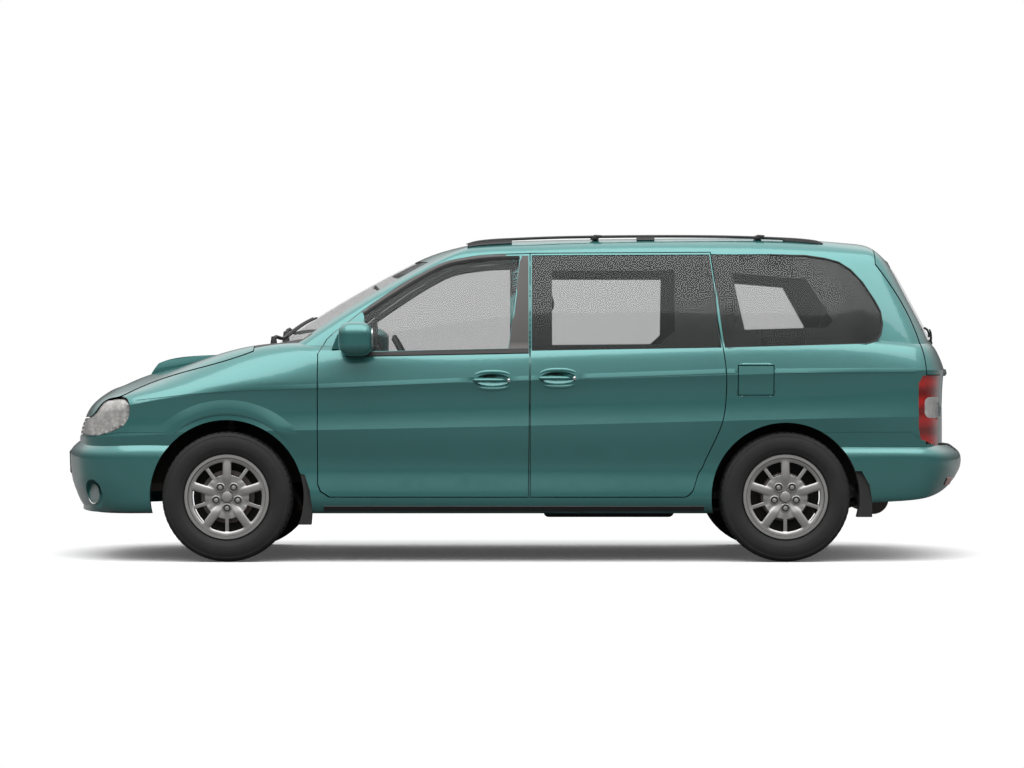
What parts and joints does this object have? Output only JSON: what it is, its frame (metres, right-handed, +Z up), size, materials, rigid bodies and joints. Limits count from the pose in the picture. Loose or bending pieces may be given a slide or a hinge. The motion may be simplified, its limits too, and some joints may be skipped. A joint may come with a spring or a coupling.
{
  "type": "minivan",
  "caption": "Seven-seat family van with hinged front doors, sliding side doors, bonnet intake, lifting tailgate and roof rack.",
  "frame": {"origin": "on the ground below the middle of the overall length and width", "axes": "+X to the rear, +Y to the vehicle's right, +Z up; the nose points to -X"},
  "size_m": [4.8611, 2.15, 1.7229],
  "materials": {
    "paint": "metallic gloss",
    "black_plastic": "grained",
    "glass": "clear",
    "lamp_clear": "clear",
    "lamp_red": "gloss",
    "steel": "satin",
    "iron": "machined",
    "alloy": "satin",
    "tyre": "matte",
    "rubber": "matte",
    "trim": "grained",
    "cloth": "woven",
    "under": "matt"
  },
  "bodies": {
    "body": {"floor_pan": "under", "body_side_left": "paint", "body_side_right": "paint", "roof": "paint", "wing_left": "paint", "wing_right": "paint", "front_bumper": "paint", "rear_bumper": "paint", "grille": "black_plastic", "cowl": "black_plastic", "windscreen": "glass", "headlamps": "lamp_clear", "tail_lamps": "lamp_red", "sliding_door_left": "paint", "sliding_door_right": "paint", "side_windows": "glass", "roof_rack": "black_plastic", "mud_flaps": "rubber", "front_subframe": "steel", "struts": "steel", "rear_axle": "steel", "engine": "iron", "radiator": "alloy", "exhaust": "alloy", "fuel_tank": "black_plastic", "dashboard": "trim", "seat_frames": "steel", "front_seats": "cloth", "middle_seats": "cloth", "rear_bench": "cloth"},
    "front_door_left": {"front_door_left": "paint", "door_window_left": "glass", "mirror_left": "paint"},
    "front_door_right": {"front_door_right": "paint", "door_window_right": "glass", "mirror_right": "paint"},
    "bonnet": {"bonnet": "paint"},
    "tailgate": {"tailgate": "paint", "tailgate_window": "glass"},
    "fuel_flap": {"fuel_flap": "paint"},
    "steering_wheel": {"steering_wheel": "black_plastic"},
    "knuckle_left": {"knuckle_left": "iron"},
    "knuckle_right": {"knuckle_right": "iron"},
    "wheel_front_left": {"tyre_front_left": "tyre", "rim_front_left": "alloy", "brake_front_left": "iron"},
    "wheel_front_right": {"tyre_front_right": "tyre", "rim_front_right": "alloy", "brake_front_right": "iron"},
    "wheel_rear_left": {"tyre_rear_left": "tyre", "rim_rear_left": "alloy", "brake_rear_left": "iron"},
    "wheel_rear_right": {"tyre_rear_right": "tyre", "rim_rear_right": "alloy", "brake_rear_right": "iron"}
  },
  "joints": [
    {"name": "steer_left", "type": "hinge", "parent": "body", "child": "knuckle_left", "pos_m": [-1.505, -0.7, 0.34], "axis": [0, 0, 1], "range_deg": [-33, 33]},
    {"name": "steer_right", "type": "hinge", "parent": "body", "child": "knuckle_right", "pos_m": [-1.505, 0.7, 0.34], "axis": [0, 0, 1], "range_deg": [-33, 33]},
    {"name": "steering_wheel_turn", "type": "hinge", "parent": "body", "child": "steering_wheel", "pos_m": [-0.56, -0.4, 1.01], "axis": [0.8829, 0, 0.4695], "range_deg": [-462, 462]},
    {"name": "front_door_left_hinge", "type": "hinge", "parent": "body", "child": "front_door_left", "pos_m": [-1.065, -0.9105, 0.78], "axis": [0, 0, -1], "range_deg": [0, 65]},
    {"name": "front_door_right_hinge", "type": "hinge", "parent": "body", "child": "front_door_right", "pos_m": [-1.065, 0.9105, 0.78], "axis": [0, 0, 1], "range_deg": [0, 65]},
    {"name": "bonnet_hinge", "type": "hinge", "parent": "body", "child": "bonnet", "pos_m": [-1.339, 0, 1.099], "axis": [0, 1, 0], "range_deg": [0, 55]},
    {"name": "tailgate_hinge", "type": "hinge", "parent": "body", "child": "tailgate", "pos_m": [1.86, 0, 1.643], "axis": [0, -1, 0], "range_deg": [0, 80]},
    {"name": "fuel_flap_hinge", "type": "hinge", "parent": "body", "child": "fuel_flap", "pos_m": [1.1275, -0.9225, 0.947], "axis": [0, 0, -1], "range_deg": [0, 95]},
    {"name": "wheel_front_left_spin", "type": "hinge", "parent": "knuckle_left", "child": "wheel_front_left", "pos_m": [-1.505, -0.812, 0.34], "axis": [0, 1, 0], "continuous": true},
    {"name": "wheel_front_right_spin", "type": "hinge", "parent": "knuckle_right", "child": "wheel_front_right", "pos_m": [-1.505, 0.812, 0.34], "axis": [0, 1, 0], "continuous": true},
    {"name": "wheel_rear_left_spin", "type": "hinge", "parent": "body", "child": "wheel_rear_left", "pos_m": [1.405, -0.812, 0.34], "axis": [0, 1, 0], "continuous": true},
    {"name": "wheel_rear_right_spin", "type": "hinge", "parent": "body", "child": "wheel_rear_right", "pos_m": [1.405, 0.812, 0.34], "axis": [0, 1, 0], "continuous": true}
  ],
  "couplings": [
    {"joint": "steer_right", "follows": "steer_left", "ratio": 1},
    {"joint": "steering_wheel_turn", "follows": "steer_left", "ratio": 14}
  ]
}
